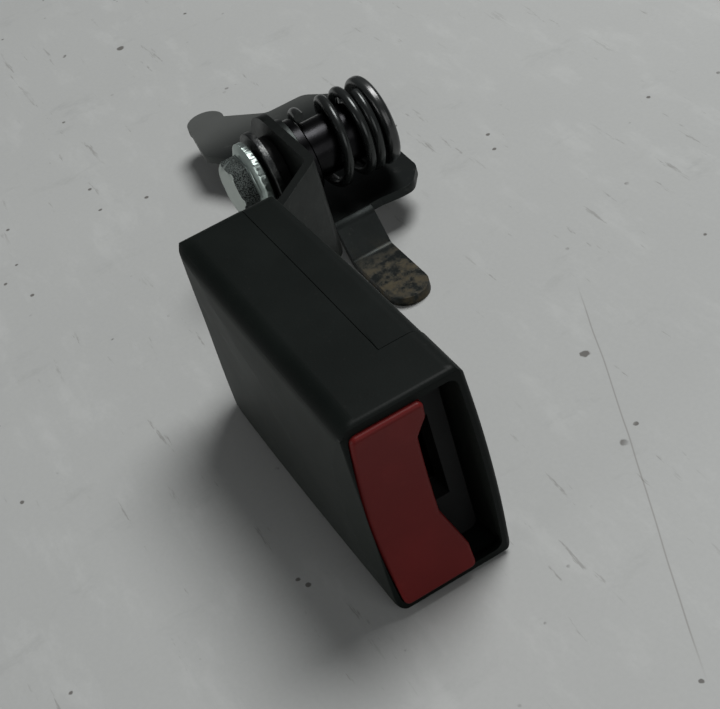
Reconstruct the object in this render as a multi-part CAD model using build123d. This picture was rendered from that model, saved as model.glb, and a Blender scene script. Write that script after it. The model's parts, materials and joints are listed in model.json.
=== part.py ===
"""Seat belt buckle on a cranked steel strap, with its sprung pivot and anchor bracket.

Millimetres. The buckle lies on one narrow side, as it does on a bench.
+Z is up, +X runs from the pivot to the buckle's mouth, and +Y runs along the
anchor bolt, away from its head. The pieces are drawn with X and Y measured from
the middle of the strap's eye, and are then moved together so that the origin is
at the middle of the whole assembly's footprint, on the surface it lies on.
"""
from build123d import *
import math
import os

os.makedirs("parts", exist_ok=True)

# ---------------------------------------------------------------- driving sizes
# clearances
part_gap = 0.3            # between bodies that move past each other
running_fit = 0.08        # radial, shafts in their bores
seam_gap = 0.4            # visible line between the two covers

# buckle housing
buckle_width = 64.0       # across the broad faces, along Z here
buckle_front_x = 155.5
buckle_rear_x = 51.0      # furthest point of the rounded rear end
housing_thickness = 31.8
rear_taper = 2.1          # thickness lost on the far side, from front to rear
side_crown = 2.0          # bulge of the near broad face
rear_shoulder = 9.0       # how far the rear corners lie ahead of the rear end
rear_face_rise = 6.0      # the same across the broad face
mouth_bevel = 11.0        # length of the sloped band beside the button
cover_wall = 2.2
near_edge_radius = 6.0
far_edge_radius = 4.0
rear_corner_radius = 4.0
rear_face_radius = 7.0
front_edge_radius = 1.4
mouth_end_wall = 2.8
mouth_far_wall = 2.3
mouth_near_wall = 1.5
mouth_corner_radius = 2.5
mouth_depth = 22.0
back_cover_depth = 11.8   # how much of the thickness the back cover takes
back_cover_setback = 18.0  # from the mouth to the back cover's front edge
post_half_length = 3.0    # the back cover's snap posts
post_half_thickness = 1.2
post_offset = 4.5         # outside the latch frame
post_rear = 6.0
post_front = 12.0

# strap and pivot
strap_width = 35.0
strap_thickness = 3.0
strap_bend_radius = 5.0
strap_crank_x = 59.5      # first bend, at the housing's rear end
strap_elbow_x = 30.6      # second bend, where the eye's leg starts
strap_end_x = 94.0        # strap's end inside the buckle
strap_end_corner = 4.0
strap_passage_gap = 1.0
strap_offset = 36.5       # from the eye's plane to the buckle's mid plane
rivet_spacing = 19.0
rivet_radius = 2.6
rivet_head_radius = 4.4
rivet_head_height = 1.4
rivet_back = 12.0         # from the strap's end to the rivets

# anchor bolt and what is on it
bolt_radius = 5.5
bolt_hex_flats = 17.0
bolt_hex_height = 10.5
flange_radius = 12.8
flange_thickness = 3.4
bolt_shoulder_radius = 8.4
bolt_shoulder_height = 1.5
bolt_length = 42.0        # from the flange's underside
thread_length = 18.0
thread_depth = 0.45
thread_pitch = 1.27
thread_rings = 13
lock_washer_radius = 14.6
lock_washer_thickness = 2.2
lock_washer_teeth = 30
bushing_radius = 8.6
bushing_flange_radius = 11.2
bushing_flange_thickness = 3.4

# bracket, sleeve and torsion spring
plate_thickness = 3.0
plate_underside_z = 11.0
ear_radius = 14.0
sleeve_radius = 9.5
sleeve_length = 31.0
sleeve_collar_radius = 12.6
sleeve_collar_length = 3.5
coil_wire_radius = 1.65
coil_mean_radius = 13.35
coil_open_pitch = 9.7
coil_open_turns = 1.45
coil_close_pitch = 3.5
coil_end_gap = 0.1
retainer_radius = 15.2
retainer_width = 4.2
retainer_edge_radius = 1.7
retainer_setback = 0.4    # from the sleeve's end
foot_width = 14.0
foot_near_y = 5.5
foot_end_x = 53.0
foot_bend_x = 15.0
foot_floor_x = 23.0

# button, latch and ejector
button_travel = 4.0
button_depth = 17.0
button_wall = 2.0
button_dish = 3.0
button_proud = 1.8
button_inner_y = 17.9     # from the housing's near side to the button's middle edge
button_horn_top = 2.9
button_horn_bottom = 4.4
button_horn_depth = 7.0
button_notch_top = 10.5   # from the mouth's top to where the middle edge starts
button_notch_bottom = 17.0
button_edge_radius = 1.1
button_corner_radius = 1.6
button_post_radius = 1.6
button_spring_offset = 17.0   # of each spring from the middle
guide_clearance = 1.3     # left between the pushed-in horns and the guide
frame_thickness = 2.5
frame_rear_x = 72.0
frame_front_x = 134.0
frame_width = 40.0
frame_wall_height = 8.0
frame_wall_start = 14.0   # from the frame's rear end to its side walls
frame_ear_half = 6.0
spring_stop_x = 2.0       # from the frame's rear end
spring_stop_half = 3.0
latch_pin_radius = 2.0
latch_pin_x = 100.0
latch_hub_radius = 4.2
latch_width = 14.0
latch_reach = 18.0
latch_nose = 6.0
latch_arm_half = 1.5
nose_gap_rear = 3.0       # room for the nose in the frame's window
nose_gap_front = 6.0
nose_gap_side = 1.0
ejector_travel = 8.0
ejector_end_gap = 1.6     # left between the pushed-in ejector and the rivet heads
ejector_bar = 6.0         # width of the bar that joins its two arms
ejector_front_setback = 8.0
ejector_corner = 1.2
ejector_thickness = 3.0
tongue_width = 26.0
tongue_slot_height = 4.6
spring_wire_radius = 0.45

# ---------------------------------------------------------------- derived places
axis_z = buckle_width / 2
near_y = -strap_offset - housing_thickness / 2
far_y = near_y + housing_thickness
seam_y = far_y - back_cover_depth
seam_x = buckle_front_x - back_cover_setback
mouth_top_z = buckle_width - mouth_end_wall
mouth_bottom_z = mouth_end_wall
mouth_near_y = near_y + mouth_near_wall
mouth_far_y = far_y - mouth_far_wall

strap_half = strap_thickness / 2
ear_y = strap_half + part_gap
sleeve_y = ear_y + plate_thickness
collar_end_y = sleeve_y + sleeve_collar_length
sleeve_end_y = sleeve_y + sleeve_length
bore_radius = bolt_radius + running_fit
retainer_y = sleeve_end_y - retainer_setback - retainer_width
coil_start_y = collar_end_y + coil_wire_radius + coil_end_gap
coil_end_y = retainer_y - coil_wire_radius - coil_end_gap
coil_close_turns = (coil_end_y - coil_start_y - coil_open_turns * coil_open_pitch) / coil_close_pitch
bushing_face_y = -strap_half - bushing_flange_thickness
washer_y = bushing_face_y - part_gap - lock_washer_thickness
flange_y = washer_y - bolt_shoulder_height - flange_thickness
head_y = flange_y - bolt_hex_height
plate_top_z = plate_underside_z + plate_thickness

frame_base_y = -strap_offset + strap_half       # strap lies against this face
frame_top_y = frame_base_y + frame_thickness
frame_low_z = axis_z - frame_width / 2
frame_high_z = axis_z + frame_width / 2
rivet_x = strap_end_x - rivet_back
latch_pin_y = frame_base_y - latch_hub_radius - 2 * part_gap
button_rear_x = buckle_front_x - button_depth
tongue_floor_y = frame_top_y + part_gap
ejector_top_y = tongue_floor_y + ejector_thickness
ejector_rear_x = rivet_x + rivet_head_radius + ejector_travel + ejector_end_gap
latch_tip_x = latch_pin_x + latch_reach
spring_stop_front_x = frame_rear_x + spring_stop_x + frame_thickness


# ---------------------------------------------------------------- small helpers
def write(node, shape):
    """Write one node's solids to parts/NODE.step."""
    shape.label = node
    export_step(shape, f"parts/{node}.step")


def block(x_range, y_range, z_range):
    """A box between two limits on each axis."""
    low = (x_range[0], y_range[0], z_range[0])
    high = (x_range[1], y_range[1], z_range[1])
    sides = [b - a for a, b in zip(low, high)]
    middle = [(a + b) / 2 for a, b in zip(low, high)]
    return Pos(*middle) * Box(*sides)


def bolt_axis_cylinder(radius, y_low, y_high):
    """A cylinder on the pivot axis between two heights along it."""
    base = Plane(origin=(0, y_low, axis_z), x_dir=(1, 0, 0), z_dir=(0, 1, 0))
    return extrude(base * Circle(radius), y_high - y_low)


def bolt_axis_ring(outer, inner, y_low, y_high):
    """A ring on the pivot axis."""
    return bolt_axis_cylinder(outer, y_low, y_high) - bolt_axis_cylinder(inner, y_low - 1, y_high + 1)


def spring_path(mean_radius, turns, height_at, start_angle=0.0, steps_per_turn=12):
    """A curve through points on a coil, whose rise is given by height_at(turn)."""
    count = round(turns * steps_per_turn)
    points = []
    for step in range(count + 1):
        turn = turns * step / count
        angle = math.radians(start_angle) - turn * math.tau
        points.append((mean_radius * math.cos(angle), mean_radius * math.sin(angle), height_at(turn)))
    return Spline(*points)


def wire_along(path, wire_radius):
    """Round wire swept along a path."""
    start = Plane(origin=path @ 0, z_dir=path % 0)
    return sweep(start * Circle(wire_radius), path=path)


# ---------------------------------------------------------------- housing
def plan_profile(inset):
    """The housing seen from above: tapered, with a bulged rear end and a bevelled mouth."""
    near = near_y + inset
    far = far_y - inset
    front_x = buckle_front_x - inset
    shoulder_x = buckle_rear_x + rear_shoulder + inset
    near_rear = (shoulder_x, near)
    near_bevel = (buckle_front_x - mouth_bevel, near - side_crown)
    near_mid = ((shoulder_x + near_bevel[0]) / 2, near - 0.8 * side_crown)
    far_rear = (shoulder_x, far - rear_taper)
    rear_tip = (buckle_rear_x + inset, (near + far - rear_taper) / 2)
    outline = Curve() + [
        ThreePointArc(near_rear, near_mid, near_bevel),
        Line(near_bevel, (front_x, near)),
        Line((front_x, near), (front_x, far)),
        Line((front_x, far), far_rear),
        ThreePointArc(far_rear, rear_tip, near_rear),
    ]
    face = make_face(outline)
    corners = face.vertices().filter_by(lambda v: abs(v.X - shoulder_x) < 0.01)
    face = fillet(corners, rear_corner_radius - inset / 2)
    if inset:
        return face
    front = face.vertices().filter_by(lambda v: v.X > front_x - 0.01)
    return fillet(front, front_edge_radius)


def side_profile(inset):
    """The housing's broad face: a rectangle with a bulged rear end and rounded rear corners."""
    low = inset
    high = buckle_width - inset
    front_x = buckle_front_x - inset
    shoulder_x = buckle_rear_x + rear_face_rise + inset
    outline = Curve() + [
        Line((front_x, low), (front_x, high)),
        Line((front_x, high), (shoulder_x, high)),
        ThreePointArc((shoulder_x, high), (buckle_rear_x + inset, axis_z), (shoulder_x, low)),
        Line((shoulder_x, low), (front_x, low)),
    ]
    face = make_face(outline)
    corners = face.vertices().filter_by(lambda v: abs(v.X - shoulder_x) < 0.01)
    face = fillet(corners, rear_face_radius - inset)
    if inset:
        return face
    front = face.vertices().filter_by(lambda v: v.X > front_x - 0.01)
    return fillet(front, front_edge_radius)


def cross_profile(inset):
    """The housing's cross section: a rounded rectangle with a crowned near side."""
    near = near_y + inset
    far = far_y - inset
    low = inset
    high = buckle_width - inset
    outline = Curve() + [
        ThreePointArc((near, low), (near - side_crown, axis_z), (near, high)),
        Line((near, high), (far, high)),
        Line((far, high), (far, low)),
        Line((far, low), (near, low)),
    ]
    face = make_face(outline)
    near_corners = face.vertices().filter_by(lambda v: v.X < near + 1)
    face = fillet(near_corners, near_edge_radius - inset)
    far_corners = face.vertices().filter_by(lambda v: v.X > far - 0.01)
    return fillet(far_corners, far_edge_radius - inset)


def housing_form(inset=0.0):
    """The outer form, or the same form taken in by inset on every side."""
    along_x = Plane(origin=(0, 0, 0), x_dir=(0, 1, 0), z_dir=(1, 0, 0))
    along_y = Plane(origin=(0, 0, 0), x_dir=(1, 0, 0), z_dir=(0, -1, 0))
    from_plan = extrude(plan_profile(inset), buckle_width + 10)
    from_side = extrude(along_y * side_profile(inset), 2 * strap_offset)
    from_cross = extrude(along_x * cross_profile(inset), buckle_front_x + 10)
    return (from_side & from_cross) & from_plan


def mouth_profile(clearance=0.0):
    """The mouth's outline in the YZ plane, crowned like the near side."""
    low = mouth_bottom_z + clearance
    high = mouth_top_z - clearance
    left = mouth_near_y + clearance
    right = mouth_far_y - clearance
    outline = Curve() + [
        ThreePointArc((left, low), (left - 0.8 * side_crown, axis_z), (left, high)),
        Line((left, high), (right, high)),
        Line((right, high), (right, low)),
        Line((right, low), (left, low)),
    ]
    face = make_face(outline)
    return fillet(face.vertices(), mouth_corner_radius)


def mouth_plane(x):
    """A plane across the buckle whose own X is the object's Y."""
    return Plane(origin=(x, 0, 0), x_dir=(0, 1, 0), z_dir=(1, 0, 0))


def strap_profile(grow=0.0):
    """The cranked strap seen from above, or its passage when grown."""
    centre = FilletPolyline(
        (strap_end_x + grow, -strap_offset),
        (strap_crank_x, -strap_offset),
        (strap_elbow_x, 0),
        (-strap_width, 0),
        radius=strap_bend_radius,
    )
    return trace(centre, strap_thickness + 2 * grow)


def strap_passage():
    """The opening in the rear wall that the strap comes out of."""
    height = strap_width + 2 * strap_passage_gap
    passage = extrude(Pos(0, 0, axis_z - height / 2) * strap_profile(strap_passage_gap), height)
    return passage & block((0, frame_rear_x), (-2 * strap_offset, 0), (0, buckle_width))


def housing_shell():
    """Both covers as one hollow shell, before they are parted."""
    shell = housing_form() - housing_form(cover_wall)
    opening = extrude(mouth_plane(buckle_front_x - mouth_depth) * mouth_profile(), mouth_depth + 5)
    return shell - opening - strap_passage()


def back_cover_region(gap):
    """The space that belongs to the back cover, taken in by gap."""
    return block(
        (buckle_rear_x - 5, seam_x - gap),
        (seam_y + gap, far_y + 5),
        (-5, buckle_width + 5),
    )


def make_covers():
    """The main cover with the mouth, and the back cover with its snap posts."""
    shell = housing_shell()
    main_cover = shell - back_cover_region(0)
    back_cover = shell & back_cover_region(seam_gap)
    post_y = far_y - cover_wall
    for x in (frame_rear_x + post_rear, frame_front_x - post_front):
        for z in (frame_low_z - post_offset, frame_high_z + post_offset):
            back_cover += block(
                (x - post_half_length, x + post_half_length),
                (seam_y + 1, post_y),
                (z - post_half_thickness, z + post_half_thickness),
            )
    return main_cover, back_cover.solids().sort_by(SortBy.VOLUME)[-1]


# ---------------------------------------------------------------- strap and frame
def make_strap():
    """Cranked anchor strap with a round eye and two rivet holes."""
    strap = extrude(Pos(0, 0, axis_z - strap_width / 2) * strap_profile(), strap_width)
    eye_side = block((-strap_width - 1, 0), (-2 * strap_half, 2 * strap_half), (0, buckle_width))
    eye = bolt_axis_cylinder(strap_width / 2, -strap_half, strap_half)
    strap = (strap - eye_side) + eye
    inner_end = strap.edges().filter_by(Axis.Y).sort_by(Axis.X)[-2:]
    strap = fillet(inner_end, strap_end_corner)
    strap -= bolt_axis_cylinder(bushing_radius, -strap_width, strap_width)
    return strap - rivet_holes()


def rivet_places():
    """Middle of each rivet along Z."""
    return (axis_z - rivet_spacing / 2, axis_z + rivet_spacing / 2)


def rivet_shank(z, radius, y_low, y_high):
    """A cylinder along Y at a rivet's place."""
    base = Plane(origin=(rivet_x, y_low, z), x_dir=(1, 0, 0), z_dir=(0, 1, 0))
    return extrude(base * Circle(radius), y_high - y_low)


def rivet_holes():
    """Both rivet holes, through strap and frame."""
    low = -strap_offset - 2 * strap_thickness
    high = frame_top_y + 2
    holes = [rivet_shank(z, rivet_radius, low, high) for z in rivet_places()]
    return holes[0] + holes[1]


def make_rivets():
    """Two headed rivets that join the strap to the latch frame."""
    strap_face = -strap_offset - strap_half
    rivets = []
    for z in rivet_places():
        rivet = rivet_shank(z, rivet_radius, strap_face, frame_top_y)
        rivet += rivet_shank(z, rivet_head_radius, strap_face - rivet_head_height, strap_face)
        rivet += rivet_shank(z, rivet_head_radius, frame_top_y, frame_top_y + rivet_head_height)
        rivets.append(rivet)
    return Compound(children=rivets)


def make_frame():
    """Pressed channel that guides the tongue and carries the latch pin."""
    base = block(
        (frame_rear_x, frame_front_x), (frame_base_y, frame_top_y), (frame_low_z, frame_high_z)
    )
    base -= block(
        (latch_tip_x - latch_nose - nose_gap_rear, latch_tip_x + nose_gap_front),
        (frame_base_y - 1, frame_top_y + 1),
        (axis_z - latch_width / 2 - nose_gap_side, axis_z + latch_width / 2 + nose_gap_side),
    )
    wall_top = frame_top_y + frame_wall_height - frame_thickness
    ear_low = latch_pin_y - latch_hub_radius
    for z in (frame_low_z, frame_high_z - frame_thickness):
        wall_z = (z, z + frame_thickness)
        wall_x = (frame_rear_x + frame_wall_start, frame_front_x)
        base += block(wall_x, (frame_base_y, wall_top), wall_z)
        ear_x = (latch_pin_x - frame_ear_half, latch_pin_x + frame_ear_half)
        base += block(ear_x, (ear_low, frame_base_y + 1), wall_z)
    spring_stop = block(
        (frame_rear_x + spring_stop_x, spring_stop_front_x),
        (frame_top_y - 0.5, ejector_top_y),
        (axis_z - spring_stop_half, axis_z + spring_stop_half),
    )
    pin_hole = Pos(latch_pin_x, latch_pin_y, axis_z) * Cylinder(latch_pin_radius, buckle_width)
    return (base + spring_stop) - pin_hole - rivet_holes()


def make_latch_pin():
    """The latch's pivot, pressed into both frame ears."""
    return Pos(latch_pin_x, latch_pin_y, axis_z) * Cylinder(latch_pin_radius, frame_width)


def make_latch():
    """Lever on the pin, with a nose that reaches through the frame into the tongue's path."""
    low_z = axis_z - latch_width / 2
    arm_y = latch_pin_y - latch_arm_half
    hub = Pos(latch_pin_x, latch_pin_y, axis_z) * Cylinder(latch_hub_radius, latch_width)
    tip_x = latch_tip_x
    back_y = arm_y - latch_arm_half
    profile = make_face(
        Polyline(
            (latch_pin_x, back_y),
            (tip_x - latch_arm_half, back_y),
            (tip_x, arm_y),
            (tip_x, tongue_floor_y + 1.0),
            (tip_x - latch_nose + 2.0, tongue_floor_y + 2.6),
            (tip_x - latch_nose, tongue_floor_y + 1.6),
            (tip_x - latch_nose, arm_y + 2.0),
            (latch_pin_x, arm_y + 2 * latch_arm_half),
            (latch_pin_x, back_y),
        )
    )
    arm = extrude(Pos(0, 0, low_z) * profile, latch_width)
    bore = Pos(latch_pin_x, latch_pin_y, axis_z)
    bore = bore * Cylinder(latch_pin_radius + running_fit, latch_width + 2)
    return (hub + arm) - bore


def make_ejector():
    """U-shaped slider whose two arms push the tongue out."""
    nose_space = latch_width / 2 + latch_arm_half
    reach_x = frame_front_x - ejector_front_setback
    outer = frame_width / 2 - frame_thickness - 2 * part_gap
    body = block(
        (ejector_rear_x, reach_x), (tongue_floor_y, ejector_top_y), (axis_z - outer, axis_z + outer)
    )
    body -= block(
        (ejector_rear_x + ejector_bar, reach_x + 1),
        (tongue_floor_y - 1, ejector_top_y + 1),
        (axis_z - nose_space, axis_z + nose_space),
    )
    upright = body.edges().filter_by(Axis.Y)
    return fillet(upright, ejector_corner)


# ---------------------------------------------------------------- button and guide
def button_profile():
    """The button's outline: horned on the tongue's side and crowned on the other."""
    clearance = part_gap
    low = mouth_bottom_z + clearance
    high = mouth_top_z - clearance
    left = mouth_near_y + clearance
    middle_y = near_y + button_inner_y
    top_horn_y = middle_y + button_horn_top
    bottom_horn_y = middle_y + button_horn_bottom
    outline = Curve() + [
        ThreePointArc((left, low), (left - 0.8 * side_crown, axis_z), (left, high)),
        Line((left, high), (top_horn_y, high)),
        Line((top_horn_y, high), (top_horn_y, high - button_notch_top / 2)),
        Line((top_horn_y, high - button_notch_top / 2), (middle_y, high - button_notch_top)),
        Line((middle_y, high - button_notch_top), (middle_y, low + button_notch_bottom + 4)),
        Line((middle_y, low + button_notch_bottom + 4), (bottom_horn_y, low + 7)),
        Line((bottom_horn_y, low + 7), (bottom_horn_y, low)),
        Line((bottom_horn_y, low), (left, low)),
    ]
    face = make_face(outline)
    return fillet(face.vertices(), button_corner_radius)


def make_button():
    """Release button: a dished cap with horns, hollow behind, with two spring posts."""
    profile = button_profile()
    face_x = buckle_front_x + button_proud
    horn_x = face_x - button_horn_depth
    cap = extrude(mouth_plane(button_rear_x) * profile, face_x - button_rear_x + 1)
    cap -= block((button_rear_x - 1, horn_x), (near_y + button_inner_y, far_y), (0, buckle_width))
    chord = mouth_top_z - mouth_bottom_z
    dish_radius = (chord ** 2 / 4 + button_dish ** 2) / (2 * button_dish)
    dish_centre = Pos(face_x - button_dish + dish_radius, 0, axis_z)
    cap -= dish_centre * Rot(90, 0, 0) * Cylinder(dish_radius, 4 * strap_offset)
    cap = cap.solids().sort_by(Axis.X)[0]
    face_edges = cap.faces().sort_by(Axis.X)[-1].edges()
    cap = fillet(face_edges, button_edge_radius)
    hollow = offset(profile, -button_wall)
    hollow = extrude(mouth_plane(button_rear_x - 1) * hollow, button_depth - button_dish - 1.5)
    middle_y = near_y + button_inner_y
    cap -= hollow & block((0, buckle_front_x), (2 * near_y, middle_y - button_wall), (0, buckle_width))
    post_y = (near_y + button_inner_y + mouth_near_y) / 2
    for z in button_spring_places():
        base = mouth_plane(button_rear_x)
        cap += Pos(0, post_y, z) * extrude(base * Circle(button_post_radius), button_depth - 4)
    return cap


def button_spring_places():
    """Middle of each button spring along Z."""
    return (axis_z - button_spring_offset, axis_z + button_spring_offset)


def make_guide():
    """Plastic guide set back in the mouth, with a funnelled slot for the tongue."""
    horn_rear_x = buckle_front_x + button_proud - button_horn_depth
    front_x = horn_rear_x - button_travel - guide_clearance
    rear_x = max(frame_front_x, seam_x) + part_gap
    low_y = tongue_floor_y - 1.2
    guide = block((rear_x, front_x), (low_y, mouth_far_y), (mouth_bottom_z, mouth_top_z))
    far_corners = guide.edges().filter_by(Axis.X).filter_by(lambda e: e.center().Y > mouth_far_y - 0.1)
    guide = fillet(far_corners, mouth_corner_radius)
    slot_z = tongue_width / 2 + 0.6
    slot_y = (tongue_floor_y, tongue_floor_y + tongue_slot_height)
    guide -= block((rear_x - 1, front_x + 1), slot_y, (axis_z - slot_z, axis_z + slot_z))
    middle_y = (slot_y[0] + slot_y[1]) / 2
    mouth = Pos(0, middle_y, axis_z) * mouth_plane(front_x) * Rectangle(7.0, 2 * slot_z + 6)
    throat = Pos(0, middle_y, axis_z) * mouth_plane(front_x - 4)
    throat = throat * Rectangle(tongue_slot_height, 2 * slot_z)
    return guide - loft([mouth, throat])


def coil_spring(x_low, x_high, y, z, mean_radius, turns):
    """A compression spring along X."""
    rise = (x_high - x_low - 2 * spring_wire_radius) / turns
    path = spring_path(mean_radius, turns, lambda turn: rise * turn, steps_per_turn=8)
    spring = wire_along(path, spring_wire_radius)
    return Pos(x_low + spring_wire_radius, y, z) * Rot(0, 90, 0) * spring


def make_button_springs():
    """Two return springs between the button's posts and the stops behind them."""
    post_y = (near_y + button_inner_y + mouth_near_y) / 2
    rear_x = frame_front_x - 16
    springs = []
    for z in button_spring_places():
        springs.append(coil_spring(rear_x, button_rear_x - part_gap, post_y, z, 2.4, 5))
    return Compound(children=springs)


def make_ejector_spring():
    """The spring that pushes the ejector forward."""
    low = spring_stop_front_x + part_gap
    high = ejector_rear_x - part_gap
    middle_y = (tongue_floor_y + ejector_top_y) / 2 + 0.6
    return coil_spring(low, high, middle_y, axis_z, 1.5, 6)


# ---------------------------------------------------------------- anchor hardware
def make_bushing():
    """Flanged plastic bushing pressed into the strap's eye."""
    bush = bolt_axis_cylinder(bushing_radius, bushing_face_y, strap_half)
    bush += bolt_axis_cylinder(bushing_flange_radius, bushing_face_y, -strap_half)
    return bush - bolt_axis_cylinder(bore_radius, bushing_face_y - 1, strap_half + 1)


def make_bolt():
    """Hex bolt with a round flange, a shoulder and a threaded end."""
    shank_end = flange_y + flange_thickness + bolt_length
    hex_base = Plane(origin=(0, head_y, axis_z), x_dir=(1, 0, 0), z_dir=(0, 1, 0))
    hexagon = RegularPolygon(bolt_hex_flats / 2, 6, major_radius=False)
    head = extrude(hex_base * hexagon, bolt_hex_height)
    top_radius = bolt_hex_flats / 2 + 0.1
    widest = bolt_hex_flats / math.sqrt(3) + 0.5
    chamfer_cone = make_face(
        Polyline((0, 0), (top_radius, 0), (widest, 1.3), (widest, bolt_hex_height),
                 (0, bolt_hex_height), (0, 0))
    )
    turned = Plane(origin=(0, head_y, axis_z), x_dir=(1, 0, 0), z_dir=(0, 0, 1))
    crown = revolve(turned * chamfer_cone, Axis((0, 0, axis_z), (0, 1, 0)), 360)
    bolt = head & crown
    rim = 1.3
    flange = make_face(
        Polyline((0, 0), (flange_radius - 2.6, 0), (flange_radius, rim),
                 (flange_radius, flange_thickness - 0.4),
                 (flange_radius - 0.4, flange_thickness), (0, flange_thickness), (0, 0))
    )
    flange_plane = Plane(origin=(0, flange_y, axis_z), x_dir=(1, 0, 0), z_dir=(0, 0, 1))
    bolt += revolve(flange_plane * flange, Axis((0, 0, axis_z), (0, 1, 0)), 360)
    shoulder_y = flange_y + flange_thickness
    bolt += bolt_axis_cylinder(bolt_shoulder_radius, shoulder_y, washer_y)
    bolt += bolt_axis_cylinder(bolt_radius, washer_y, shank_end)
    tip = bolt.edges().filter_by(GeomType.CIRCLE).sort_by(Axis.Y)[-1]
    bolt = chamfer(tip, 1.0)
    first = shank_end - thread_length
    for ring in range(thread_rings):
        y = first + ring * thread_pitch
        bolt -= bolt_axis_ring(bolt_radius + 1, bolt_radius - thread_depth, y, y + thread_pitch / 2)
    return bolt


def make_lock_washer():
    """Toothed washer held under the bolt's shoulder."""
    high = washer_y + lock_washer_thickness
    washer = bolt_axis_ring(lock_washer_radius, bolt_radius, washer_y, high)
    base = Plane(origin=(0, washer_y - 1, axis_z), x_dir=(1, 0, 0), z_dir=(0, 1, 0))
    notch = extrude(base * Pos(lock_washer_radius, 0) * Circle(0.55), lock_washer_thickness + 2)
    step = 360 / lock_washer_teeth
    notches = [notch.rotate(Axis((0, 0, axis_z), (0, 1, 0)), step * n) for n in range(lock_washer_teeth)]
    return washer - notches


def plate_outline():
    """The bracket's flat plate: a square-cornered body with a tapered tongue at one side."""
    far_edge = 41.0
    left = -63.5
    right = 16.0
    tip = (-83.8, -1.0)
    outline = Curve() + [
        Line((right, 30.0), (right, far_edge - 6)),
        Line((right, far_edge - 6), (right - 8, far_edge)),
        Line((right - 8, far_edge), (left + 9, far_edge + 1.5)),
        Line((left + 9, far_edge + 1.5), (left, far_edge - 7)),
        Line((left, far_edge - 7), (left, 19.0)),
        Line((left, 19.0), (tip[0] + 9, 6.5)),
        ThreePointArc((tip[0] + 9, 6.5), tip, (tip[0] + 8, -6.8)),
        Line((tip[0] + 8, -6.8), (-57.0, -9.6)),
        Line((-57.0, -9.6), (-36.0, ear_y)),
        Line((-36.0, ear_y), (foot_bend_x, ear_y)),
        Line((foot_bend_x, ear_y), (foot_bend_x, foot_near_y + foot_width + 4)),
        Line((foot_bend_x, foot_near_y + foot_width + 4), (right, 30.0)),
    ]
    face = make_face(outline)
    square = face.vertices().filter_by(lambda v: v.Y > far_edge - 8)
    face = fillet(square, 5.0)
    lower = face.vertices().filter_by(lambda v: v.Y < -9 or abs(v.X - left) < 0.1 and v.Y < 20)
    return fillet(lower, 5.0)


def make_bracket():
    """One stamped plate: flat body, upright ear for the sleeve, and a foot bent to the floor."""
    plate = extrude(Pos(0, 0, plate_underside_z) * plate_outline(), plate_thickness)
    ear_base = Plane(origin=(0, ear_y, 0), x_dir=(-1, 0, 0), z_dir=(0, 1, 0))
    ear_shape = ear_base * Pos(0, axis_z) * Circle(ear_radius)
    ear_shape += ear_base * Pos(0, (axis_z + plate_top_z) / 2 - 0.5) * Rectangle(
        2 * ear_radius, axis_z - plate_top_z + 1
    )
    ear = extrude(ear_shape, plate_thickness)
    side = Plane(origin=(0, foot_near_y, 0), x_dir=(1, 0, 0), z_dir=(0, -1, 0))
    centre = FilletPolyline(
        (foot_bend_x - 6, plate_underside_z + plate_thickness / 2),
        (foot_bend_x, plate_underside_z + plate_thickness / 2),
        (foot_floor_x, plate_thickness / 2),
        (foot_end_x, plate_thickness / 2),
        radius=3.5,
    )
    foot = extrude(side * trace(centre, plate_thickness), -foot_width)
    foot_edges = foot.edges().filter_by(Axis.Z).sort_by(Axis.X)[-2:]
    foot = fillet(foot_edges, foot_width / 2 - 0.2)
    bracket = plate + ear + foot
    return bracket - bolt_axis_cylinder(bore_radius, 0, sleeve_end_y)


def make_sleeve():
    """Pivot sleeve with a collar against the bracket's ear."""
    sleeve = bolt_axis_cylinder(sleeve_radius, sleeve_y, sleeve_end_y)
    sleeve += bolt_axis_cylinder(sleeve_collar_radius, sleeve_y, collar_end_y)
    outer = sleeve.edges().filter_by(GeomType.CIRCLE)
    outer = outer.filter_by(lambda e: abs(e.radius - sleeve_collar_radius) < 0.01)
    sleeve = chamfer(outer, 0.5)
    return sleeve - bolt_axis_cylinder(bore_radius, sleeve_y - 1, sleeve_end_y + 1)


def coil_rise(turn):
    """Height of the spring's wire after so many turns: open coils, then close ones."""
    open_part = min(turn, coil_open_turns)
    close_part = max(turn - coil_open_turns, 0)
    return open_part * coil_open_pitch + close_part * coil_close_pitch


def make_torsion_spring():
    """Torsion spring: two open coils, then close ones against the retainer."""
    turns = coil_open_turns + coil_close_turns
    path = spring_path(coil_mean_radius, turns, coil_rise, start_angle=-90)
    spring = wire_along(path, coil_wire_radius)
    place = Plane(origin=(0, coil_start_y, axis_z), x_dir=(1, 0, 0), z_dir=(0, 1, 0))
    return place * spring


def make_retainer():
    """Rounded end ring that holds the spring on the sleeve."""
    ring = bolt_axis_cylinder(retainer_radius, retainer_y, retainer_y + retainer_width)
    ring = fillet(ring.edges().filter_by(GeomType.CIRCLE), retainer_edge_radius)
    return ring - bolt_axis_cylinder(sleeve_radius, retainer_y - 1, sleeve_end_y + 1)


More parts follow.
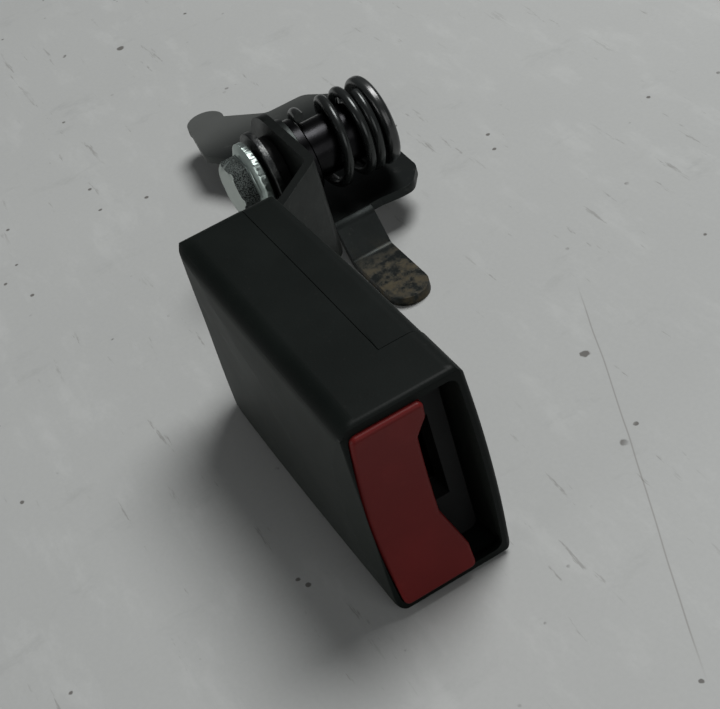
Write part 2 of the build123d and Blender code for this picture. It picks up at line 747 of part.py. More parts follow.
# ---------------------------------------------------------------- all the nodes
main_cover, back_cover = make_covers()
nodes = {
    "main_cover": main_cover,
    "back_cover": back_cover,
    "press_button": make_button(),
    "button_springs": make_button_springs(),
    "tongue_guide": make_guide(),
    "latch_frame": make_frame(),
    "frame_rivets": make_rivets(),
    "latch_lever": make_latch(),
    "latch_pin": make_latch_pin(),
    "ejector": make_ejector(),
    "ejector_spring": make_ejector_spring(),
    "anchor_strap": make_strap(),
    "pivot_bushing": make_bushing(),
    "anchor_bolt": make_bolt(),
    "lock_washer": make_lock_washer(),
    "anchor_bracket": make_bracket(),
    "pivot_sleeve": make_sleeve(),
    "torsion_spring": make_torsion_spring(),
    "spring_retainer": make_retainer(),
}
boxes = [shape.bounding_box() for shape in nodes.values()]
middle_x = (min(box.min.X for box in boxes) + max(box.max.X for box in boxes)) / 2
middle_y = (min(box.min.Y for box in boxes) + max(box.max.Y for box in boxes)) / 2
lowest_z = min(box.min.Z for box in boxes)
for node, shape in nodes.items():
    write(node, shape.moved(Location((-middle_x, -middle_y, -lowest_z))))
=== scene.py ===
"""Dresses the seat belt buckle: finishes, small hardware details, floor, lights and camera."""

import json
import math

import bpy
from mathutils import Matrix, Vector


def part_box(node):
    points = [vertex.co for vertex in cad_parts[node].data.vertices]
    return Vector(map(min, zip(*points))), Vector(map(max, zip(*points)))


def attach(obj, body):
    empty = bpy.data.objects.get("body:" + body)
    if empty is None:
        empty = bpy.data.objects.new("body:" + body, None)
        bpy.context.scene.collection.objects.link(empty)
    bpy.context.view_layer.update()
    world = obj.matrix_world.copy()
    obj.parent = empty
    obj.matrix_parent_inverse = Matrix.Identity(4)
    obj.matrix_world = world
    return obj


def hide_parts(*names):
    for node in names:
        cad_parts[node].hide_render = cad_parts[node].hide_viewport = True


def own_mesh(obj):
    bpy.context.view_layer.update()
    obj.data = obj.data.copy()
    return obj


bl_info = {
    "name": "Seat belt buckle dressing",
    "version": (1, 0, 0),
    "blender": (4, 5, 0),
    "location": "View3D > Sidebar > Buckle",
    "description": "Finishes and details for a seat belt buckle on its anchor bracket",
    "category": "Object",
}

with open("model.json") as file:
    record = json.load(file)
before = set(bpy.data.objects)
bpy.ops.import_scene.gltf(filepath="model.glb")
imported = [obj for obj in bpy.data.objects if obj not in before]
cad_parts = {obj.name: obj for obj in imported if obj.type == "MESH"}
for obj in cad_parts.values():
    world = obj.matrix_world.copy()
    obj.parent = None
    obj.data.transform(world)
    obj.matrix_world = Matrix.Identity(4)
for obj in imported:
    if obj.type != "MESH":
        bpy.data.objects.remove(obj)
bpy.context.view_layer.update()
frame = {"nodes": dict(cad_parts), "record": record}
NODES = frame["nodes"]

# ---------------------------------------------------------------- sizes, in metres and degrees
MERGE = 0.000002          # corners of a CAD mesh that lie nearer than this are one
SMOOTH_ANGLE = 35.0       # edges sharper than this stay sharp in the shading
HEX_SMOOTH_ANGLE = 25.0   # the same on the bolt
BREAK_ANGLE = 40.0        # edges of pressed steel sharper than this are broken
CAGE_MARGIN = 0.004       # how far the bowing lattice stands off the covers
SLICE = 0.006             # spacing of the cuts that let the covers bend
SEAM_CLOSE = 0.0002       # how far the back cover closes the seam's gap
HEX_HEIGHT = 0.0105       # of the hexagon on the bolt's node
HEX_END = 0.004           # deeper than the domed end of that hexagon
WASHER_WEB = 0.0078       # from the washer's rim to its hole
WASHER_EDGE = 0.00035     # bevel on the washer's edges
WASHER_SIDES = 96
FLOOR_HEIGHT = -0.0002    # just under the bracket, so that the two don't share a plane

# How much of each pull the lattice's points take: along from the rear end to the mouth,
# across from the near side (-Y) to the far side, and up from the floor.
REAR_ALONG = (1.0, 0.55, 0.05, 0.0, 0.0)
REAR_ACROSS = (1.0, 0.12, 0.12)
REAR_UP = (0.35, 1.0, 0.90, 0.35, -0.20)
NEAR_ALONG = (0.3, 1.0, 1.0, 0.55, 0.0)
NEAR_ACROSS = (1.0, 0.0, 0.0)
NEAR_UP = (1.0, 0.5, -0.5, 0.2, 0.0)
FAR_ALONG = (0.0, 0.5, 1.0, 1.0, 1.0)
FAR_ACROSS = (0.0, 0.0, 1.0)
FAR_UP = (0.4, 1.0, 1.1, 0.9, 0.3)

# Where a finish changes on a piece, as the start and end of a smooth step.
HEX_ROOT_FADE = (0.0007, 0.0001)    # back from the hexagon's root, where the painted shade on its sides stops
HEX_TOP_FADE = (0.0012, 0.0020)     # in from the hexagon's end, where the painted light on its end faces stops
TIP_FADE = (0.012, 0.040)           # in from the bracket's -X end, where its pale tip stops
FOOT_FADE = (0.034, 0.016)          # back from the bracket's +X end, where its rusty foot starts
FOOT_HEIGHT = (0.004, 0.012)        # above the floor, where the rust stops

# The long scratch in the floor.
SCRATCH_WAY = (0.9196, -0.3929)     # its direction
SCRATCH_ASIDE = 0.0705              # how far it passes from the middle of the floor
SCRATCH_ENDS = (0.0151, 0.1691)     # its ends along its direction
SCRATCH_FADE = 0.02                 # over which each end fades
SCRATCH_WIDTH = (0.00004, 0.00032)  # from its middle line, where it starts to fade and is gone

# ---------------------------------------------------------------- colours
DUST = (0.22, 0.21, 0.19)
# painted sheen: the paler plastic painted on the housing's -Y side for the floor's reflection
NEAR_SIDE_SHEEN = (0.040, 0.046, 0.041)
GUIDE_BLACK = (0.0110, 0.0115, 0.0115)
EJECTOR_WHITE = (0.55, 0.54, 0.50)
BUSHING_BLACK = (0.02, 0.02, 0.02)
RETAINER_BLACK = (0.013, 0.015, 0.0145)
WORN_STEEL = (0.22, 0.22, 0.21)
MECHANISM_ZINC = (0.52, 0.50, 0.42)
SMALL_WIRE = (0.42, 0.42, 0.42)
STRAP_STEEL = (0.032, 0.036, 0.034)
SLEEVE_STEEL = (0.016, 0.016, 0.017)
SPRING_BLACK = (0.040, 0.044, 0.043)
BOLT_ZINC = (0.46, 0.53, 0.50)
BOLT_ZINC_DULL = (0.33, 0.39, 0.37)
# painted light: the paler zinc painted on the hexagon's end faces
BOLT_ZINC_PAINTED_LIGHT = (0.50, 0.54, 0.51)
# painted shade: the near-black painted on the hexagon's sides for their dark reflection
BOLT_PAINTED_SHADE = (0.006, 0.0065, 0.0065)
WASHER_DARK = (0.035, 0.037, 0.038)
WASHER_PALE = (0.12, 0.124, 0.12)
BRACKET_STEEL = (0.026, 0.030, 0.029)
BRACKET_STEEL_DARK = (0.015, 0.017, 0.0165)
BRACKET_MARK = (0.20, 0.20, 0.19)
BRACKET_TIP = (0.16, 0.168, 0.160)
RUST_BROWN = (0.048, 0.032, 0.014)
RUST_OCHRE = (0.085, 0.074, 0.040)
FLOOR_SCUFF = (0.17, 0.165, 0.15)
FLOOR_GRIT = (0.055, 0.047, 0.038)
FLOOR_SCRATCH = (0.18, 0.17, 0.155)

# ---------------------------------------------------------------- lights and camera
# name, place, the point it faces, diameter in metres, power in watts
LIGHTS = (
    ("key", (-0.16, 0.62, 1.30), (0.0, 0.0, 0.02), 0.72, 17.8),
    ("fill", (0.10, -1.30, 0.22), (0.0, 0.0, 0.03), 1.0, 5.0),
    ("front", (1.20, 0.10, 0.55), (0.0, 0.0, 0.03), 0.9, 2.6),
)
ROOM_COLOUR = (0.78, 0.80, 0.82, 1.0)
ROOM_STRENGTH = 0.085
CAMERA_PLACE = (0.362387, -0.109386, 0.28992)
CAMERA_RIGHT = (0.463, 0.854, -0.239)
CAMERA_BACK = (0.740, -0.223, 0.635)
CAMERA_SENSOR = 36.0      # millimetres, as the lens
CAMERA_LENS = 76.5
CAMERA_NEAREST = 0.01


# ---------------------------------------------------------------- shader maths
class Wire:
    """One shader socket that adds its Math nodes when it is used in an expression."""

    def __init__(self, finish, socket):
        self.finish = finish
        self.socket = socket

    def maths(self, operation, *values):
        return self.finish.node(
            "ShaderNodeMath", {"operation": operation}, dict(enumerate(values))
        )

    def __add__(self, other):
        return self.maths("ADD", self, other)

    def __radd__(self, other):
        return self.maths("ADD", other, self)

    def __sub__(self, other):
        return self.maths("SUBTRACT", self, other)

    def __rsub__(self, other):
        return self.maths("SUBTRACT", other, self)

    def __mul__(self, other):
        return self.maths("MULTIPLY", self, other)

    def __rmul__(self, other):
        return self.maths("MULTIPLY", other, self)

    def size(self):
        """The value without its sign."""
        return self.maths("ABSOLUTE", self)

    def clamped(self):
        """The value kept between 0 and 1."""
        return self.maths("MAXIMUM", self.maths("MINIMUM", self, 1.0), 0.0)

    def over(self, low, high):
        """0 below low, 1 above high, smooth between."""
        settings = {"interpolation_type": "SMOOTHSTEP"}
        return self.finish.node(
            "ShaderNodeMapRange", settings, {0: self, 1: low, 2: high, 3: 0.0, 4: 1.0}
        )


class Finish:
    """A material on one Principled shader, built from nodes by expressions."""

    SOCKETS = {
        "colour": "Base Color",
        "rough": "Roughness",
        "metal": "Metallic",
        "specular": "Specular IOR Level",
    }

    def __init__(self, name):
        self.material = bpy.data.materials.new(name)
        self.material.use_nodes = True
        self.tree = self.material.node_tree
        self.shader = self.tree.nodes["Principled BSDF"]
        self.place = self.node("ShaderNodeTexCoord", {}, {}, "Object")

    def node(self, kind, settings, inputs, output=0):
        """Adds a node: settings first, then the values or links of its sockets."""
        made = self.tree.nodes.new(kind)
        for key, value in settings.items():
            setattr(made, key, value)
        for key, value in inputs.items():
            self.feed(made.inputs[key], value)
        return Wire(self, made.outputs[output])

    def feed(self, socket, value):
        """Links a wire to a socket, or sets the socket to a value."""
        if isinstance(value, Wire):
            self.tree.links.new(value.socket, socket)
        else:
            socket.default_value = value

    def noise(self, scale, detail=3.0, rough=0.5, stretch=None):
        """Noise over the piece; scale is in features per metre, times stretch on each axis."""
        where = self.place
        if stretch:
            where = self.node("ShaderNodeMapping", {}, {"Vector": where, "Scale": stretch})
        inputs = {"Vector": where, "Scale": scale, "Detail": detail, "Roughness": rough}
        return self.node("ShaderNodeTexNoise", {"noise_dimensions": "3D"}, inputs)

    def cells(self, scale):
        """The distance to the nearest of many scattered points, 0 at each point."""
        inputs = {"Vector": self.place, "Scale": scale}
        return self.node("ShaderNodeTexVoronoi", {"feature": "F1"}, inputs)

    def axis(self, letter):
        """The piece's own X, Y or Z, in metres."""
        return self.node("ShaderNodeSeparateXYZ", {}, {0: self.place}, letter)

    def facing(self, letter):
        """How far the surface faces along the piece's own axis, from -1 to 1."""
        normal = self.node("ShaderNodeTexCoord", {}, {}, "Normal")
        return self.node("ShaderNodeSeparateXYZ", {}, {0: normal}, letter)

    def mix(self, factor, first, second):
        """A colour between two, which are wires or plain colours."""
        first, second = (
            value if isinstance(value, Wire) else (*value, 1.0) for value in (first, second)
        )
        inputs = {0: factor, 6: first, 7: second}
        return self.node("ShaderNodeMix", {"data_type": "RGBA"}, inputs, 2)

    def set(self, **values):
        """Feeds the shader's colour, rough, metal or specular."""
        for key, value in values.items():
            self.feed(self.shader.inputs[self.SOCKETS[key]], value)
        return self

    def bump(self, height, depth, strength):
        """A relief of the given depth in metres."""
        inputs = {"Height": height, "Distance": depth, "Strength": strength}
        self.feed(self.shader.inputs["Normal"], self.node("ShaderNodeBump", {}, inputs))
        return self


# ---------------------------------------------------------------- finishes
def coat(piece, finish):
    """Gives a piece its finish."""
    piece.data.materials.clear()
    piece.data.materials.append(finish.material)


def dress(node, finish):
    """Gives a CAD node its finish."""
    coat(NODES[node], finish)


def grained_plastic(
    name, colour, rough, grain_scale=1500.0, grain_depth=0.00005, specular=0.12, near_side_sheen=0.0
):
    """Moulded plastic with a fine grain and a little dust; the last argument pales its -Y side as a
    painted sheen, standing for the lit floor's reflection.
    """
    f = Finish(name)
    grain = f.noise(grain_scale, detail=2.0, rough=0.6)
    cloud = f.noise(45.0, detail=4.0, rough=0.6)
    dust = f.noise(520.0, detail=5.0, rough=0.7).over(0.60, 0.78)
    rub = f.noise(160.0, detail=5.0, rough=0.7, stretch=(0.35, 1.0, 1.0)).over(0.56, 0.74)
    upward = f.facing("Z").over(0.2, 1.0)
    light = tuple(min(c * 1.5 + 0.002, 1.0) for c in colour)
    base = f.mix(cloud.over(0.35, 0.7) * 0.4 + rub * 0.25, colour, light)
    base = f.mix(dust * upward * 0.03, base, DUST)
    # painted sheen: faces towards -Y are painted paler, standing for the reflection of the lit
    # floor
    if near_side_sheen:
        patch = 0.55 + 0.45 * f.noise(30.0, detail=4.0, rough=0.6)
        painted_sheen = (0.0 - f.facing("Y")).over(0.82, 0.99) * patch
        base = f.mix(painted_sheen * near_side_sheen, base, NEAR_SIDE_SHEEN)
    uneven = rough + (cloud - 0.5) * 0.14 + dust * 0.05 - rub * 0.05
    f.set(colour=base, rough=uneven.clamped(), specular=specular)
    return f.bump(grain, grain_depth, 0.5)


def steel(name, colour, rough, wear=0.2, metal=1.0):
    """Steel with streaks, small scratches and marks of handling."""
    f = Finish(name)
    cloud = f.noise(70.0, detail=5.0, rough=0.6)
    streak = f.noise(900.0, detail=3.0, rough=0.6, stretch=(1.0, 0.12, 1.0))
    mark = f.noise(300.0, detail=6.0, rough=0.75).over(0.58, 0.72)
    base = f.mix(cloud.over(0.3, 0.75) * 0.6, colour, tuple(c * 0.6 for c in colour))
    base = f.mix(mark * wear, base, WORN_STEEL)
    uneven = rough + (cloud - 0.5) * 0.22 + (streak - 0.5) * 0.12
    f.set(colour=base, metal=metal, rough=uneven.clamped())
    return f.bump(streak, 0.00002, 0.5)


def bolt_zinc(end, root):
    """Bright zinc, with a hexagon from end to root along Y: painted light makes its end faces
    paler, painted shade makes its sides near-black.
    """
    f = Finish("bolt bright zinc")
    cloud = f.noise(160.0, detail=4.0, rough=0.6)
    fine = f.noise(2400.0, detail=3.0, rough=0.7)
    # Painted light and shade, chosen by which way each face points: paler end faces, near-black
    # sides down the hexagon.
    side = 1.0 - f.facing("Y").size().over(0.35, 0.8)
    head = 1.0 - f.axis("Y").over(root - HEX_ROOT_FADE[0], root - HEX_ROOT_FADE[1])
    top = (1.0 - side) * (1.0 - f.axis("Y").over(end + HEX_TOP_FADE[0], end + HEX_TOP_FADE[1]))
    painted_shade = side * head * (0.75 + 0.25 * fine.over(0.4, 0.6))
    base = f.mix(cloud.over(0.3, 0.7) * 0.5, BOLT_ZINC, BOLT_ZINC_DULL)
    base = f.mix(top * 0.8, base, BOLT_ZINC_PAINTED_LIGHT)
    base = f.mix(painted_shade.clamped(), base, BOLT_PAINTED_SHADE)
    uneven = 0.33 + cloud * 0.08 + painted_shade * 0.40 + top * 0.2
    f.set(
        colour=base,
        metal=(1.0 - painted_shade * 0.9).clamped(),
        rough=uneven.clamped(),
        specular=0.15,
    )
    return f.bump(cloud + fine * painted_shade, 0.00003, 0.3)


def washer_steel():
    """Hardened dark steel with a pitted surface."""
    f = Finish("washer dark textured")
    pits = f.cells(1500.0)
    cloud = f.noise(260.0, detail=5.0, rough=0.7)
    base = f.mix(cloud.over(0.40, 0.66), WASHER_DARK, WASHER_PALE)
    f.set(colour=base, metal=1.0, rough=(0.34 + cloud * 0.2).clamped())
    return f.bump(pits, 0.00010, 0.6)


def bracket_steel(low, high):
    """Dark steel between the bracket's corners, with its pale tip at -X and rusty foot at +X."""
    f = Finish("bracket dark steel with rust")
    cloud = f.noise(60.0, detail=5.0, rough=0.6)
    fine = f.noise(1300.0, detail=4.0, rough=0.7)
    mark = f.noise(260.0, detail=6.0, rough=0.75).over(0.56, 0.70)
    tip = 1.0 - f.axis("X").over(low[0] + TIP_FADE[0], low[0] + TIP_FADE[1])
    base = f.mix(cloud.over(0.3, 0.75) * 0.6, BRACKET_STEEL, BRACKET_STEEL_DARK)
    base = f.mix(mark * 0.14, base, BRACKET_MARK)
    base = f.mix((tip * 0.75).clamped(), base, BRACKET_TIP)
    end = f.axis("X").over(high[0] - FOOT_FADE[0], high[0] - FOOT_FADE[1])
    foot = end * (1.0 - f.axis("Z").over(*FOOT_HEIGHT))
    blotch = f.noise(210.0, detail=6.0, rough=0.72).over(0.42, 0.62)
    rust = (foot * blotch).clamped()
    warm = f.mix(f.noise(700.0, detail=4.0, rough=0.6), RUST_BROWN, RUST_OCHRE)
    base = f.mix(rust * 0.85, base, warm)
    uneven = 0.44 + (cloud - 0.5) * 0.2 + rust * 0.4 + tip * 0.10
    f.set(
        colour=base,
        metal=(0.92 - rust * 0.75 - tip * 0.25).clamped(),
        rough=uneven.clamped(),
    )
    return f.bump(fine + rust * 1.5, 0.00008, 0.5)


def floor_paint(pale):
    """Pale painted floor with smears, stains, scuffs, specks and one long scratch."""
    f = Finish("floor pale scuffed")
    cloud = f.noise(6.0, detail=5.0, rough=0.6)
    grain = f.noise(700.0, detail=3.0, rough=0.6)
    smear = f.noise(26.0, detail=6.0, rough=0.68, stretch=(1.0, 2.6, 1.0)).over(0.50, 0.70)
    scuff = f.noise(60.0, detail=5.0, rough=0.75, stretch=(0.35, 3.2, 1.0)).over(0.615, 0.66)
    scuff = scuff * f.noise(14.0, detail=3.0).over(0.42, 0.55)
    ragged = f.noise(420.0, detail=3.0) * 0.05
    speck = 1.0 - (f.cells(27.0) + ragged).over(0.058, 0.075)
    speck = speck * f.noise(17.0, detail=2.0).over(0.42, 0.47)
    grit = 1.0 - (f.cells(95.0) + ragged * 2.0).over(0.11, 0.14)
    grit = grit * f.noise(31.0, detail=2.0).over(0.50, 0.56)
    along = f.axis("X") * SCRATCH_WAY[0] + f.axis("Y") * SCRATCH_WAY[1]
    aside = f.axis("Y") * SCRATCH_WAY[0] - f.axis("X") * SCRATCH_WAY[1] - SCRATCH_ASIDE
    wander = (f.noise(9.0, detail=3.0) - 0.5) * 0.004
    scratch = 1.0 - (aside + wander).size().over(*SCRATCH_WIDTH)
    scratch = scratch * along.over(SCRATCH_ENDS[0], SCRATCH_ENDS[0] + SCRATCH_FADE)
    scratch = scratch * (1.0 - along.over(SCRATCH_ENDS[1] - SCRATCH_FADE, SCRATCH_ENDS[1]))
    base = f.mix(cloud.over(0.3, 0.7) * 0.35, pale, tuple(c * 0.88 for c in pale))
    base = f.mix(grain.over(0.3, 0.7) * 0.10, base, tuple(c * 0.72 for c in pale))
    base = f.mix(smear * 0.40, base, tuple(min(c * 1.16, 1.0) for c in pale))
    stain = f.noise(33.0, detail=6.0, rough=0.7, stretch=(1.8, 0.8, 1.0)).over(0.56, 0.74)
    base = f.mix(stain * 0.30, base, tuple(c * 0.66 for c in pale))
    base = f.mix(scuff * 0.45, base, FLOOR_SCUFF)
    base = f.mix((speck + grit).clamped() * 0.75, base, FLOOR_GRIT)
    base = f.mix(scratch * 0.50, base, FLOOR_SCRATCH)
    return f.set(colour=base, rough=0.6, specular=0.2)


# ---------------------------------------------------------------- shapes
def pick(context, piece):
    """Selects one piece alone and makes it the active one."""
    bpy.ops.object.select_all(action="DESELECT")
    piece.select_set(True)
    context.view_layer.objects.active = piece


def merged_copy(context, node, body, name):
    """A merged copy of a CAD node in edit mode, which stands for the node."""
    piece = bpy.data.objects.new(name, NODES[node].data.copy())
    context.scene.collection.objects.link(piece)
    pick(context, piece)
    bpy.ops.object.mode_set(mode="EDIT")
    bpy.ops.mesh.select_all(action="SELECT")
    bpy.ops.mesh.remove_doubles(threshold=MERGE)
    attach(piece, body)
    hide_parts(node)
    return piece


def slice_along(letter, low, high):
    """Cuts the edited mesh by planes across one axis, so that it can bend."""
    direction = [float(letter == name) for name in "XYZ"]
    for index in range(1, math.ceil((high - low) / SLICE)):
        place = [part * (low + index * SLICE) for part in direction]
        bpy.ops.mesh.select_all(action="SELECT")
        bpy.ops.mesh.bisect(plane_co=place, plane_no=direction)


def select_where(piece, test):
    """Selects the edited mesh's vertices whose place passes the test."""
    bpy.ops.mesh.select_all(action="DESELECT")
    bpy.ops.object.mode_set(mode="OBJECT")
    for vertex in piece.data.vertices:
        vertex.select = test(vertex.co)
    bpy.ops.object.mode_set(mode="EDIT")


def finish_mesh(context, piece, angle=SMOOTH_ANGLE):
    """Leaves edit mode and shades the piece smooth up to an angle."""
    if context.mode != "OBJECT":
        bpy.ops.object.mode_set(mode="OBJECT")
    pick(context, piece)
    bpy.ops.object.shade_smooth_by_angle(angle=math.radians(angle))
    evening = piece.modifiers.new("even shading", "WEIGHTED_NORMAL")
    evening.keep_sharp = True


def moving_spring(context, node, joint_name, finish):
    """A merged copy of a return spring in place of its node; the share of its length to keep at the
    joint's end is worked out but not used, so it does not shorten.
    """
    piece = merged_copy(context, node, "buckle", node + "_moving")
    bpy.ops.object.mode_set(mode="OBJECT")
    bpy.ops.object.shade_smooth()
    coat(piece, finish)
    joint = next(j for j in frame["record"]["behaviour"]["joints"] if j["name"] == joint_name)
    low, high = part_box(node)
    keep = 1.0 - joint["range_m"][1] / (high[0] - low[0])
    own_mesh(piece)


def bowing_cage(context, low, high, sizes):
    """A lattice from low to high that pulls the covers' rear end and broad sides outwards."""
    middle = (low + high) / 2
    span = high - low
    columns, rows = len(REAR_ALONG), len(REAR_ACROSS)
    bpy.ops.object.select_all(action="DESELECT")
    bpy.ops.object.add(type="LATTICE", location=middle)
    cage = context.object
    cage.scale = span
    cage.data.points_u, cage.data.points_v, cage.data.points_w = columns, rows, len(REAR_UP)
    for index, point in enumerate(cage.data.points):
        along = index % columns
        across = index // columns % rows
        up = index // (columns * rows)
        rear = sizes.rear_bow * REAR_ALONG[along] * REAR_UP[up] * REAR_ACROSS[across]
        near = sizes.near_bulge * NEAR_ALONG[along] * NEAR_UP[up] * NEAR_ACROSS[across]
        far = sizes.far_bulge * FAR_ALONG[along] * FAR_UP[up] * FAR_ACROSS[across]
        shift = Vector((-rear / span.x, (far - near) / span.y, 0.0))
        point.co_deform = point.co_deform + shift
    return cage


def break_edges(piece, width):
    """Breaks a pressed piece's sharp edges with a narrow bevel."""
    weld = piece.modifiers.new("merge", "WELD")
    weld.merge_threshold = MERGE
    bevel = piece.modifiers.new("edge break", "BEVEL")
    bevel.width = width
    bevel.segments = 2
    bevel.limit_method = "ANGLE"
    bevel.angle_limit = math.radians(BREAK_ANGLE)
    bevel.use_clamp_overlap = True


# ---------------------------------------------------------------- settings
class BuckleColours(bpy.types.PropertyGroup):
    """Colours of the buckle's main pieces and of the floor."""

    housing: bpy.props.FloatVectorProperty(
        name="Housing",
        description="Colour of both covers",
        default=(0.0034, 0.0052, 0.0044),
        subtype="COLOR",
    )
    button: bpy.props.FloatVectorProperty(
        name="Button",
        description="Colour of the release button",
        default=(0.116, 0.0090, 0.0085),
        subtype="COLOR",
    )
    floor: bpy.props.FloatVectorProperty(
        name="Floor",
        description="Colour of the floor",
        default=(0.44, 0.45, 0.44),
        subtype="COLOR",
    )


class BuckleSizes(bpy.types.PropertyGroup):
    """Sizes that the dressing adds."""

    rear_bow: bpy.props.FloatProperty(
        name="Rear bow",
        description="Pull on the near corner of the housing's rear end, which follows by a third",
        default=0.0085,
        subtype="DISTANCE",
        unit="LENGTH",
    )
    near_bulge: bpy.props.FloatProperty(
        name="Near bulge",
        description="Pull on the broad side by the button, which follows in part",
        default=0.0016,
        subtype="DISTANCE",
        unit="LENGTH",
    )
    far_bulge: bpy.props.FloatProperty(
        name="Far bulge",
        description="Pull on the other broad side, which follows in part",
        default=0.0030,
        subtype="DISTANCE",
        unit="LENGTH",
    )
    hex_shorter: bpy.props.FloatProperty(
        name="Hexagon shortening",
        description="How much the bolt's hexagon is shortened",
        default=0.0045,
        subtype="DISTANCE",
        unit="LENGTH",
    )
    edge_break: bpy.props.FloatProperty(
        name="Edge break",
        description="Bevel on the edges of pressed steel",
        default=0.0004,
        subtype="DISTANCE",
        unit="LENGTH",
    )
    floor_width: bpy.props.FloatProperty(
        name="Floor width",
        description="Side of the floor",
        default=6.0,
        subtype="DISTANCE",
        unit="LENGTH",
    )


# ---------------------------------------------------------------- operators
class BUCKLE_OT_housing(bpy.types.Operator):
    """Bow both covers and finish them in matt black grained plastic"""

    bl_idname = "buckle.housing"
    bl_label = "Housing"

    def execute(self, context):
        colour = tuple(context.scene.buckle_colours.housing)
        # The housing's -Y side gets the painted sheen that stands for the floor's reflection.
        finish = grained_plastic("housing black grained", colour, 0.52, near_side_sheen=0.55)
        low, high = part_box("main_cover")
        margin = Vector((CAGE_MARGIN, CAGE_MARGIN, CAGE_MARGIN))
        sizes = context.scene.buckle_sizes
        cage = bowing_cage(context, Vector(low) - margin, Vector(high) + margin, sizes)
        for name in ("main_cover", "back_cover"):
            piece = merged_copy(context, name, "buckle", name + "_bowed")
            slice_along("X", low[0], high[0])
            slice_along("Z", low[2], high[2])
            if name == "back_cover":
                bpy.ops.mesh.select_all(action="SELECT")
                bpy.ops.transform.translate(value=(SEAM_CLOSE, -SEAM_CLOSE, 0.0))
            bpy.ops.object.mode_set(mode="OBJECT")
            bend = piece.modifiers.new("bow", "LATTICE")
            bend.object = cage
            bpy.ops.object.modifier_apply(modifier=bend.name)
            finish_mesh(context, piece)
            coat(piece, finish)
        bpy.data.objects.remove(cage, do_unlink=True)
        return {"FINISHED"}


class BUCKLE_OT_button(bpy.types.Operator):
    """Finish the release button in dull red plastic"""

    bl_idname = "buckle.button"
    bl_label = "Release button"

    def execute(self, context):
        colour = tuple(context.scene.buckle_colours.button)
        finish = grained_plastic(
            "button red", colour, 0.46, grain_scale=2200.0, grain_depth=0.00003, specular=0.16
        )
        dress("press_button", finish)
        return {"FINISHED"}


class BUCKLE_OT_inside(bpy.types.Operator):
    """Finish the guide, latch, ejector, rivets and springs inside the housing"""

    bl_idname = "buckle.inside"
    bl_label = "Mechanism"

    def execute(self, context):
        dress("tongue_guide", grained_plastic("guide black", GUIDE_BLACK, 0.6))
        dress("ejector", grained_plastic("ejector white", EJECTOR_WHITE, 0.45))
        plated = steel("mechanism zinc plate", MECHANISM_ZINC, 0.34)
        for name in ("latch_frame", "frame_rivets", "latch_lever", "latch_pin"):
            dress(name, plated)
        wire = steel("small spring wire", SMALL_WIRE, 0.3)
        moving_spring(context, "button_springs", "button_press", wire)
        moving_spring(context, "ejector_spring", "ejector_slide", wire)
        return {"FINISHED"}


class BUCKLE_OT_strap(bpy.types.Operator):
    """Finish the cranked strap in dark oiled steel and its bushing in black"""

    bl_idname = "buckle.strap"
    bl_label = "Anchor strap"

    def execute(self, context):
        dress("anchor_strap", steel("strap dark steel", STRAP_STEEL, 0.42, wear=0.10))
        break_edges(NODES["anchor_strap"], context.scene.buckle_sizes.edge_break)
        dress("pivot_bushing", grained_plastic("bushing black", BUSHING_BLACK, 0.4))
        return {"FINISHED"}


class BUCKLE_OT_bolt(bpy.types.Operator):
    """Finish the anchor bolt in bright zinc and its washer in dark steel"""

    bl_idname = "buckle.bolt"
    bl_label = "Anchor bolt and washer"

    def execute(self, context):
        low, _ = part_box("anchor_bolt")
        shorter = context.scene.buckle_sizes.hex_shorter
        piece = merged_copy(context, "anchor_bolt", "bolt", "anchor_bolt_short_hex")
        select_where(piece, lambda place: place.y < low[1] + HEX_END)
        bpy.ops.transform.translate(value=(0.0, shorter, 0.0))
        finish_mesh(context, piece, HEX_SMOOTH_ANGLE)
        coat(piece, bolt_zinc(low[1] + shorter, low[1] + HEX_HEIGHT))
        self.add_washer(context)
        return {"FINISHED"}

    def add_washer(self, context):
        """A hardened ring with a rough rim in place of the toothed node."""
        low, high = (Vector(corner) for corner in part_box("lock_washer"))
        bpy.ops.object.select_all(action="DESELECT")
        bpy.ops.mesh.primitive_cylinder_add(
            vertices=WASHER_SIDES,
            radius=(high.x - low.x) / 2,
            depth=high.y - low.y,
            end_fill_type="NOTHING",
            location=(low + high) / 2,
            rotation=(math.radians(90), 0.0, 0.0),
        )
        ring = context.object
        ring.name = "lock_washer_ring"
        bpy.ops.object.transform_apply(location=True, rotation=True, scale=True)
        wall = ring.modifiers.new("web", "SOLIDIFY")
        wall.thickness = WASHER_WEB
        wall.offset = -1.0
        edge = ring.modifiers.new("edge", "BEVEL")
        edge.width = WASHER_EDGE
        edge.segments = 3
        for modifier in (wall.name, edge.name):
            bpy.ops.object.modifier_apply(modifier=modifier)
        finish_mesh(context, ring)
        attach(ring, "bolt")
        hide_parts("lock_washer")
        coat(ring, washer_steel())


class BUCKLE_OT_pivot(bpy.types.Operator):
    """Finish the sleeve, torsion spring and end ring"""

    bl_idname = "buckle.pivot"
    bl_label = "Sleeve, spring and retainer"

    def execute(self, context):
        dress("pivot_sleeve", steel("sleeve oiled steel", SLEEVE_STEEL, 0.28, wear=0.04))
        wire = steel("spring black wire", SPRING_BLACK, 0.24, wear=0.04, metal=0.6)
        dress("torsion_spring", wire)
        smooth = grained_plastic(
            "retainer black smooth",
            RETAINER_BLACK,
            0.26,
            grain_scale=1800.0,
            grain_depth=0.00002,
            specular=0.8,
        )
        dress("spring_retainer", smooth)
        return {"FINISHED"}


class BUCKLE_OT_bracket(bpy.types.Operator):
    """Finish the bracket in dark steel, with its pale tip and rusty foot"""

    bl_idname = "buckle.bracket"
    bl_label = "Anchor bracket"

    def execute(self, context):
        low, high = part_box("anchor_bracket")
        dress("anchor_bracket", bracket_steel(low, high))
        break_edges(NODES["anchor_bracket"], context.scene.buckle_sizes.edge_break)
        return {"FINISHED"}


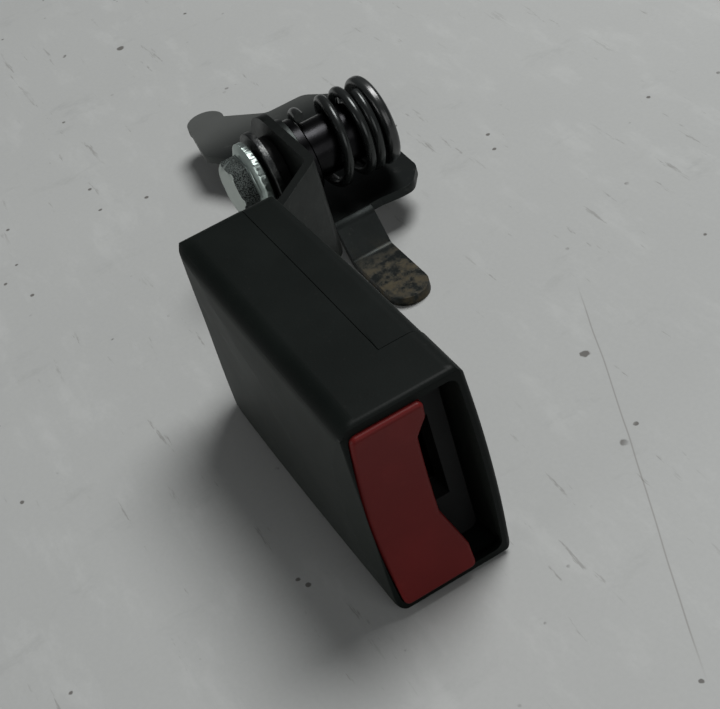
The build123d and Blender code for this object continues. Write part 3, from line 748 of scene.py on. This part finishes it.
class BUCKLE_OT_stage(bpy.types.Operator):
    """Add the floor, the lights and the camera"""

    bl_idname = "buckle.stage"
    bl_label = "Stage"

    def execute(self, context):
        scene = context.scene
        scene.view_settings.view_transform = "Standard"
        bpy.ops.object.select_all(action="DESELECT")
        bpy.ops.mesh.primitive_plane_add(
            size=scene.buckle_sizes.floor_width, location=(0, 0, FLOOR_HEIGHT)
        )
        floor = context.object
        floor.name = "floor"
        coat(floor, floor_paint(tuple(scene.buckle_colours.floor)))
        for light in LIGHTS:
            self.add_light(context, *light)
        world = bpy.data.worlds.new("room")
        scene.world = world
        world.use_nodes = True
        background = world.node_tree.nodes["Background"]
        background.inputs["Color"].default_value = ROOM_COLOUR
        background.inputs["Strength"].default_value = ROOM_STRENGTH
        self.add_camera(context)
        return {"FINISHED"}

    def add_light(self, context, name, place, target, size, power):
        """A round soft light that faces a point."""
        data = bpy.data.lights.new(name, "AREA")
        data.shape = "DISK"
        data.size = size
        data.energy = power
        light = bpy.data.objects.new(name, data)
        context.scene.collection.objects.link(light)
        light.location = place
        way = Vector(target) - Vector(place)
        light.rotation_euler = way.to_track_quat("-Z", "Y").to_euler()

    def add_camera(self, context):
        """The camera, turned so that its right and back point as given."""
        data = bpy.data.cameras.new("camera")
        camera = bpy.data.objects.new("camera", data)
        context.scene.collection.objects.link(camera)
        right = Vector(CAMERA_RIGHT).normalized()
        back = Vector(CAMERA_BACK)
        back = (back - right * back.dot(right)).normalized()
        up = back.cross(right)
        turn = Matrix((right, up, back)).transposed().to_4x4()
        camera.matrix_world = Matrix.Translation(CAMERA_PLACE) @ turn
        data.sensor_width = CAMERA_SENSOR
        data.lens = CAMERA_LENS
        data.clip_start = CAMERA_NEAREST
        context.scene.camera = camera


OPERATORS = (
    BUCKLE_OT_housing,
    BUCKLE_OT_button,
    BUCKLE_OT_inside,
    BUCKLE_OT_strap,
    BUCKLE_OT_bolt,
    BUCKLE_OT_pivot,
    BUCKLE_OT_bracket,
    BUCKLE_OT_stage,
)


class BUCKLE_PT_panel(bpy.types.Panel):
    """Lists the dressing's steps and settings"""

    bl_label = "Seat belt buckle"
    bl_idname = "BUCKLE_PT_panel"
    bl_space_type = "VIEW_3D"
    bl_region_type = "UI"
    bl_category = "Buckle"

    def draw(self, context):
        for group in (context.scene.buckle_colours, context.scene.buckle_sizes):
            for name in group.__annotations__:
                self.layout.prop(group, name)
        for operator in OPERATORS:
            self.layout.operator(operator.bl_idname)


CLASSES = (BuckleColours, BuckleSizes, *OPERATORS, BUCKLE_PT_panel)


def register():
    for cls in CLASSES:
        bpy.utils.register_class(cls)
    bpy.types.Scene.buckle_colours = bpy.props.PointerProperty(type=BuckleColours)
    bpy.types.Scene.buckle_sizes = bpy.props.PointerProperty(type=BuckleSizes)


def unregister():
    del bpy.types.Scene.buckle_sizes
    del bpy.types.Scene.buckle_colours
    for cls in reversed(CLASSES):
        bpy.utils.unregister_class(cls)


def main():
    register()
    for operator in OPERATORS:
        group, name = operator.bl_idname.split(".")
        getattr(getattr(bpy.ops, group), name)()


if __name__ == "__main__":
    main()
